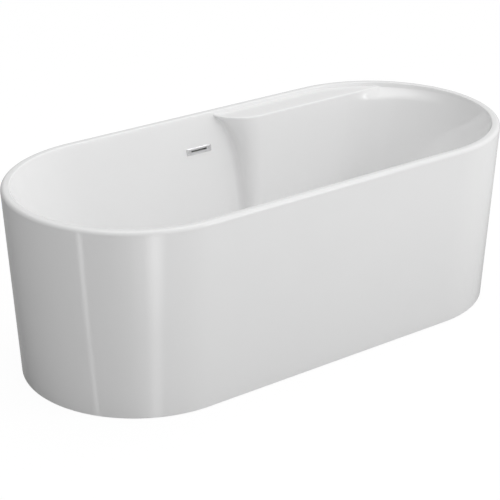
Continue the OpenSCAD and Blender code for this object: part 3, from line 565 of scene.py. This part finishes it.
# ---------------------------------------------------------------- nuts of the feet
# Zinc plated hexagon nuts: one welded on the cross member over each foot, one
# lock nut under it. They are copied on to the places of the feet.
zinc = finish("zinc plate", (0.58, 0.59, 0.60), (0.74, 0.75, 0.76), (0.25, 0.42), 90.0, 0.12, 500.0, 1.0)
feet = [frame["record"]["mounts"][k]["pos_m"] for k in range(5)]
nut_tree = bpy.data.node_groups.new("nuts", "GeometryNodeTree")
nut_tree.interface.new_socket("Geometry", in_out="INPUT", socket_type="NodeSocketGeometry")
inputs = {}
for name, kind in (
    ("Corner Radius", "NodeSocketFloat"),
    ("Bore", "NodeSocketFloat"),
    ("Height", "NodeSocketFloat"),
    ("Material", "NodeSocketMaterial"),
):
    inputs[name] = nut_tree.interface.new_socket(name, in_out="INPUT", socket_type=kind).identifier
nut_tree.interface.new_socket("Geometry", in_out="OUTPUT", socket_type="NodeSocketGeometry")
given = nut_tree.nodes.new("NodeGroupInput")
result = nut_tree.nodes.new("NodeGroupOutput")
body = nut_tree.nodes.new("GeometryNodeMeshCylinder")
body.inputs["Vertices"].default_value = 6
hole = nut_tree.nodes.new("GeometryNodeMeshCylinder")
hole.inputs["Vertices"].default_value = 48
deeper = nut_tree.nodes.new("ShaderNodeMath")
deeper.operation = "MULTIPLY"
deeper.inputs[1].default_value = 1.5
cut = nut_tree.nodes.new("GeometryNodeMeshBoolean")
cut.operation = "DIFFERENCE"
copies = nut_tree.nodes.new("GeometryNodeInstanceOnPoints")
solid = nut_tree.nodes.new("GeometryNodeRealizeInstances")
coat = nut_tree.nodes.new("GeometryNodeSetMaterial")
nut_tree.links.new(given.outputs["Corner Radius"], body.inputs["Radius"])
nut_tree.links.new(given.outputs["Height"], body.inputs["Depth"])
nut_tree.links.new(given.outputs["Bore"], hole.inputs["Radius"])
nut_tree.links.new(given.outputs["Height"], deeper.inputs[0])
nut_tree.links.new(deeper.outputs["Value"], hole.inputs["Depth"])
nut_tree.links.new(body.outputs["Mesh"], cut.inputs["Mesh 1"])
nut_tree.links.new(hole.outputs["Mesh"], cut.inputs["Mesh 2"])
nut_tree.links.new(given.outputs["Geometry"], copies.inputs["Points"])
nut_tree.links.new(cut.outputs["Mesh"], copies.inputs["Instance"])
nut_tree.links.new(copies.outputs["Instances"], solid.inputs["Geometry"])
nut_tree.links.new(solid.outputs["Geometry"], coat.inputs["Geometry"])
nut_tree.links.new(given.outputs["Material"], coat.inputs["Material"])
nut_tree.links.new(coat.outputs["Geometry"], result.inputs["Geometry"])


def grow(name, points, tree, values):
    """Runs a node tree on points and returns the result as a plain mesh object."""
    seed_mesh = bpy.data.meshes.new(name + "_seed")
    seed_mesh.from_pydata(points, [], [])
    seed = bpy.data.objects.new(name + "_seed", seed_mesh)
    scene.collection.objects.link(seed)
    modifier = seed.modifiers.new("grow", "NODES")
    modifier.node_group = tree
    for key, value in values.items():
        modifier[key] = value
    seed.update_tag()
    bpy.context.view_layer.update()
    grown = bpy.data.meshes.new_from_object(seed.evaluated_get(bpy.context.evaluated_depsgraph_get()))
    seed.modifiers.clear()
    bpy.data.objects.remove(seed)
    piece = bpy.data.objects.new(name, grown)
    scene.collection.objects.link(piece)
    return piece


nut_radius = 0.011
nut_bore = 0.00608
for node in ("weld_nuts", "lock_nuts"):
    low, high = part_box(node)
    piece = grow(node + "_hex", [(p[0], p[1], (low.z + high.z) / 2) for p in feet], nut_tree, {
        inputs["Corner Radius"]: nut_radius,
        inputs["Bore"]: nut_bore,
        inputs["Height"]: high.z - low.z,
        inputs["Material"]: zinc,
    })
    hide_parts(node)
    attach(piece, "tub")

# ---------------------------------------------------------------- feet
# Five levelling feet: a zinc plated stud with a spanner collar, turned into a
# round pad of black plastic.
def revolve(name, profile, steps, place):
    """Solid of revolution about a vertical axis from (radius, height) points."""
    turned = bmesh.new()
    loops = []
    for k in range(steps):
        a = 2 * math.pi * k / steps
        loops.append([
            turned.verts.new((place[0] + r * math.cos(a), place[1] + r * math.sin(a), place[2] + z))
            for r, z in profile
        ])
    for k in range(steps):
        here = loops[k]
        after = loops[(k + 1) % steps]
        for j in range(len(profile) - 1):
            turned.faces.new((here[j], after[j], after[j + 1], here[j + 1]))
    bmesh.ops.remove_doubles(turned, verts=turned.verts, dist=1e-6)
    bmesh.ops.recalc_face_normals(turned, faces=turned.faces)
    turned_mesh = bpy.data.meshes.new(name)
    turned.to_mesh(turned_mesh)
    turned.free()
    turned_mesh.shade_smooth()
    turned_mesh.set_sharp_from_angle(angle=math.radians(35))
    piece = bpy.data.objects.new(name, turned_mesh)
    scene.collection.objects.link(piece)
    return piece


pad_plastic = finish(
    "black foot plastic", (0.018, 0.018, 0.019), (0.035, 0.035, 0.037), (0.5, 0.65), 60.0, 0.25, 700.0)
for k, p in enumerate(feet):
    number = str(k + 1)
    paint("foot_stud_" + number, zinc)
    pad = revolve("pad_" + number, [
        (0.0, 0.0), (0.0240, 0.0), (0.0246, 0.0002), (0.0250, 0.0010),
        (0.0250, 0.0050), (0.0240, 0.0092), (0.0230, 0.0100), (0.0100, 0.0100),
        (0.0100, 0.0174), (0.0094, 0.0180), (0.0061, 0.0180), (0.0061, 0.0100),
        (0.0, 0.0100),
    ], 64, p)
    pad.data.materials.append(pad_plastic)
    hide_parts("foot_pad_" + number)
    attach(pad, "foot_" + number)

# ---------------------------------------------------------------- overflow cover
# Chromed plate with rounded edges and one long slot, clipped over the opening
# in the basin wall.
cover_width = 0.095
cover_height = 0.022
cover_thickness = 0.003
slot_width = 0.061
slot_height = 0.005
wall_tilt = math.atan(side_lean)


def rounded_box(width, height, radius):
    """Outline of a rectangle with rounded corners, the same count of points for any size."""
    points = []
    for k, (sx, sy) in enumerate(((1, 1), (-1, 1), (-1, -1), (1, -1))):
        for step in range(9):
            a = math.pi / 2 * (k + step / 8)
            x = sx * (width / 2 - radius) + radius * math.cos(a)
            y = sy * (height / 2 - radius) + radius * math.sin(a)
            points.append((x, y))
    return points


levels = [
    (rounded_box(cover_width, cover_height, 0.0015), 0.0),
    (rounded_box(cover_width, cover_height, 0.0015), cover_thickness - 0.0007),
    (rounded_box(cover_width - 0.0004, cover_height - 0.0004, 0.0015), cover_thickness - 0.0002),
    (rounded_box(cover_width - 0.0014, cover_height - 0.0014, 0.0012), cover_thickness),
    (rounded_box(slot_width + 0.0008, slot_height + 0.0008, 0.0010), cover_thickness),
    (rounded_box(slot_width, slot_height, 0.0008), cover_thickness - 0.0004),
    (rounded_box(slot_width, slot_height, 0.0008), 0.0),
]
cover_points = []
for outline, level in levels:
    for x, y in outline:
        cover_points.append((
            x,
            side_reach(overflow_height) + y * math.sin(wall_tilt) - level * math.cos(wall_tilt),
            overflow_height + y * math.cos(wall_tilt) + level * math.sin(wall_tilt),
        ))
around = len(levels[0][0])
cover_faces = []
for j in range(len(levels)):
    n = (j + 1) % len(levels)
    for k in range(around):
        q = (k + 1) % around
        cover_faces.append((j * around + k, j * around + q, n * around + q, n * around + k))
cover_mesh = bpy.data.meshes.new("cover_plate")
cover_mesh.from_pydata(cover_points, [], cover_faces)
cover_mesh.shade_smooth()
cover_mesh.set_sharp_from_angle(angle=math.radians(40))
cover = bpy.data.objects.new("cover_plate", cover_mesh)
scene.collection.objects.link(cover)
chrome = finish("chrome", (0.80, 0.80, 0.81), (0.84, 0.84, 0.85), (0.05, 0.12), 40.0, 0.02, 200.0, 1.0)
cover_mesh.materials.append(chrome)
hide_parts("overflow_cover")
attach(cover, "tub")

# ---------------------------------------------------------------- overflow
# White plastic box behind the wall on a black rubber seal, a grey pipe down, an
# elbow and a pipe across to the waste, held by clamp nuts.
rubber = finish("black rubber", (0.016, 0.016, 0.016), (0.030, 0.030, 0.030), (0.6, 0.8), 80.0, 0.3, 600.0)
white_plastic = finish(
    "white plastic", (0.74, 0.74, 0.72), (0.80, 0.80, 0.79), (0.35, 0.48), 25.0, 0.12, 500.0)
grey_plastic = finish(
    "grey plastic", (0.13, 0.135, 0.14), (0.19, 0.195, 0.20), (0.4, 0.55), 40.0, 0.2, 500.0)
pipe_plastic = finish(
    "pipe plastic", (0.42, 0.43, 0.44), (0.50, 0.51, 0.52), (0.35, 0.5), 30.0, 0.12, 400.0)
paint("overflow_seal", rubber)
paint("overflow_body", white_plastic)
paint("overflow_pipe", pipe_plastic)
paint("cross_pipe", pipe_plastic)
paint("overflow_elbow", grey_plastic)
paint("pipe_nuts", grey_plastic)

# ---------------------------------------------------------------- waste flange
# Chromed brass flange with its threaded tail, on a rubber seal in the floor of
# the basin. A spider in the tail carries the click cartridge.
paint("waste_flange", chrome)
paint("waste_seals", rubber)
paint("plug_cartridge", zinc)

# ---------------------------------------------------------------- plug
# Domed chrome cap on a stem with a rubber ring under it. It rises when pushed.
low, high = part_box("waste_plug")
cap_thickness = 0.005
cap = high.z - cap_thickness
plug = revolve("plug_cap", [
    (0.0, low.z), (0.0036, low.z), (0.0040, low.z + 0.0004),
    (0.0040, cap), (0.0312, cap), (0.0318, cap + 0.0003),
    (0.0320, cap + 0.0010), (0.0320, cap + 0.0030), (0.0316, cap + 0.0037), (0.0306, cap + 0.0042),
    (0.0285, cap + 0.0046), (0.0255, cap + 0.0048), (0.0200, cap + 0.00492),
    (0.0100, cap + 0.00498), (0.0, cap + 0.0050),
], 96, (0.0, 0.0, 0.0))
plug.data.materials.append(chrome)
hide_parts("waste_plug")
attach(plug, "plug")
paint("plug_seal", rubber)

# ---------------------------------------------------------------- waste body and trap
# White plastic body clamped under the floor, shallow trap under it with a union
# nut, and the outlet pipe held by a second nut.
paint("waste_body", white_plastic)
paint("trap", white_plastic)
paint("trap_seal", rubber)
paint("trap_nuts", grey_plastic)
paint("outlet_pipe", white_plastic)

# ---------------------------------------------------------------- skirt fixings
# Timber blocks bonded inside the skirt and zinc plated angles that tie them to
# the cross members.
timber = finish("timber", (0.50, 0.34, 0.19), (0.68, 0.50, 0.30), (0.6, 0.8), 25.0, 0.3, 300.0)
nodes = timber.node_tree.nodes
links = timber.node_tree.links
grain = nodes.new("ShaderNodeTexWave")
grain.bands_direction = "Z"
grain.inputs["Scale"].default_value = 60.0
grain.inputs["Distortion"].default_value = 3.0
grain.inputs["Detail"].default_value = 2.0
grain_colour = nodes.new("ShaderNodeMix")
grain_colour.data_type = "RGBA"
grain_colour.inputs[7].default_value = (0.36, 0.22, 0.11, 1.0)
thin = nodes.new("ShaderNodeMath")
thin.operation = "MULTIPLY"
thin.inputs[1].default_value = 0.45
where = next(n for n in nodes if n.type == "TEX_COORD")
plain = next(n for n in nodes if n.type == "MIX" and n != grain_colour)
links.new(where.outputs["Object"], grain.inputs["Vector"])
links.new(grain.outputs["Fac"], thin.inputs[0])
links.new(thin.outputs["Value"], grain_colour.inputs["Factor"])
links.new(plain.outputs[2], grain_colour.inputs[6])
links.new(grain_colour.outputs[2], nodes["Principled BSDF"].inputs["Base Color"])
paint("skirt_blocks", timber)
paint("skirt_brackets", zinc)

# ---------------------------------------------------------------- screws
# Zinc plated pan head screws: ten up through the rails into the board, eight in
# the brackets.
paint("bracket_screws", zinc)
paint("board_screws", zinc)

# ---------------------------------------------------------------- skirt
# Outer acrylic shell in one sheet, tapering to the floor, with a 3 mm shadow
# gap under it. It is bonded under the rim with a bead of adhesive.
skirt_low = 0.003
skirt_edge = 0.0006
skirt_tree = bpy.data.node_groups.new("skirt_wall", "GeometryNodeTree")
skirt_tree.interface.new_socket("Geometry", in_out="INPUT", socket_type="NodeSocketGeometry")
inputs = {}
for name, kind in (
    ("Low Radius", "NodeSocketFloat"),
    ("High Radius", "NodeSocketFloat"),
    ("Low", "NodeSocketFloat"),
    ("High", "NodeSocketFloat"),
    ("Straight Half", "NodeSocketFloat"),
    ("Thickness", "NodeSocketFloat"),
    ("Edge Rounding", "NodeSocketFloat"),
    ("Material", "NodeSocketMaterial"),
):
    inputs[name] = skirt_tree.interface.new_socket(name, in_out="INPUT", socket_type=kind).identifier
skirt_tree.interface.new_socket("Geometry", in_out="OUTPUT", socket_type="NodeSocketGeometry")
given = skirt_tree.nodes.new("NodeGroupInput")
result = skirt_tree.nodes.new("NodeGroupOutput")


def compute(operation, first, second):
    """Math node on two sockets or numbers."""
    made = skirt_tree.nodes.new("ShaderNodeMath")
    made.operation = operation
    for k, value in enumerate((first, second)):
        if isinstance(value, float):
            made.inputs[k].default_value = value
        elif value is not None:
            skirt_tree.links.new(value, made.inputs[k])
    return made.outputs["Value"]


def vector_of(x, y, z):
    """Vector from three sockets or numbers."""
    made = skirt_tree.nodes.new("ShaderNodeCombineXYZ")
    for k, value in enumerate((x, y, z)):
        if isinstance(value, float):
            made.inputs[k].default_value = value
        else:
            skirt_tree.links.new(value, made.inputs[k])
    return made.outputs["Vector"]


circle = skirt_tree.nodes.new("GeometryNodeCurvePrimitiveCircle")
circle.inputs["Resolution"].default_value = 320
skirt_tree.links.new(given.outputs["High Radius"], circle.inputs["Radius"])
position = skirt_tree.nodes.new("GeometryNodeInputPosition")
parts = skirt_tree.nodes.new("ShaderNodeSeparateXYZ")
skirt_tree.links.new(position.outputs["Position"], parts.inputs["Vector"])
shift = compute("MULTIPLY", compute("SIGN", parts.outputs["X"], None), given.outputs["Straight Half"])
spread = skirt_tree.nodes.new("GeometryNodeSetPosition")
skirt_tree.links.new(circle.outputs["Curve"], spread.inputs["Geometry"])
skirt_tree.links.new(vector_of(shift, 0.0, 0.0), spread.inputs["Offset"])
upright = skirt_tree.nodes.new("GeometryNodeSetCurveNormal")
upright.mode = "Z_UP"
skirt_tree.links.new(spread.outputs["Geometry"], upright.inputs["Curve"])
lean = compute("SUBTRACT", given.outputs["High Radius"], given.outputs["Low Radius"])
inner_low = compute("ADD", lean, given.outputs["Thickness"])
down_low = compute("MULTIPLY", given.outputs["Low"], -1.0)
down_high = compute("MULTIPLY", given.outputs["High"], -1.0)
section = skirt_tree.nodes.new("GeometryNodeCurvePrimitiveQuadrilateral")
section.mode = "POINTS"
corners = (
    (compute("MULTIPLY", inner_low, -1.0), down_low),
    (compute("MULTIPLY", lean, -1.0), down_low),
    (0.0, down_high),
    (compute("MULTIPLY", given.outputs["Thickness"], -1.0), down_high),
)
for k, (x, y) in enumerate(corners):
    skirt_tree.links.new(vector_of(x, y, 0.0), section.inputs["Point " + str(k + 1)])
soften = skirt_tree.nodes.new("GeometryNodeFilletCurve")
soften.mode = "POLY"
soften.inputs["Count"].default_value = 4
skirt_tree.links.new(section.outputs["Curve"], soften.inputs["Curve"])
skirt_tree.links.new(given.outputs["Edge Rounding"], soften.inputs["Radius"])
sweep = skirt_tree.nodes.new("GeometryNodeCurveToMesh")
skirt_tree.links.new(upright.outputs["Curve"], sweep.inputs["Curve"])
skirt_tree.links.new(soften.outputs["Curve"], sweep.inputs["Profile Curve"])
coat = skirt_tree.nodes.new("GeometryNodeSetMaterial")
skirt_tree.links.new(sweep.outputs["Mesh"], coat.inputs["Geometry"])
skirt_tree.links.new(given.outputs["Material"], coat.inputs["Material"])
skirt_tree.links.new(coat.outputs["Geometry"], result.inputs["Geometry"])
skirt = grow("skirt_shell", [(0.0, 0.0, 0.0)], skirt_tree, {
    inputs["Low Radius"]: skirt_radius(skirt_low),
    inputs["High Radius"]: skirt_radius(joint_height),
    inputs["Low"]: skirt_low,
    inputs["High"]: joint_height,
    inputs["Straight Half"]: straight_half,
    inputs["Thickness"]: sheet,
    inputs["Edge Rounding"]: skirt_edge,
    inputs["Material"]: acrylic,
})
skirt.data.shade_smooth()
skirt.data.set_sharp_from_angle(angle=math.radians(35))
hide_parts("skirt")
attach(skirt, "tub")
adhesive = finish("adhesive bead", (0.62, 0.62, 0.60), (0.72, 0.72, 0.70), (0.5, 0.7), 120.0, 0.4, 300.0)
paint("rim_bond", adhesive)
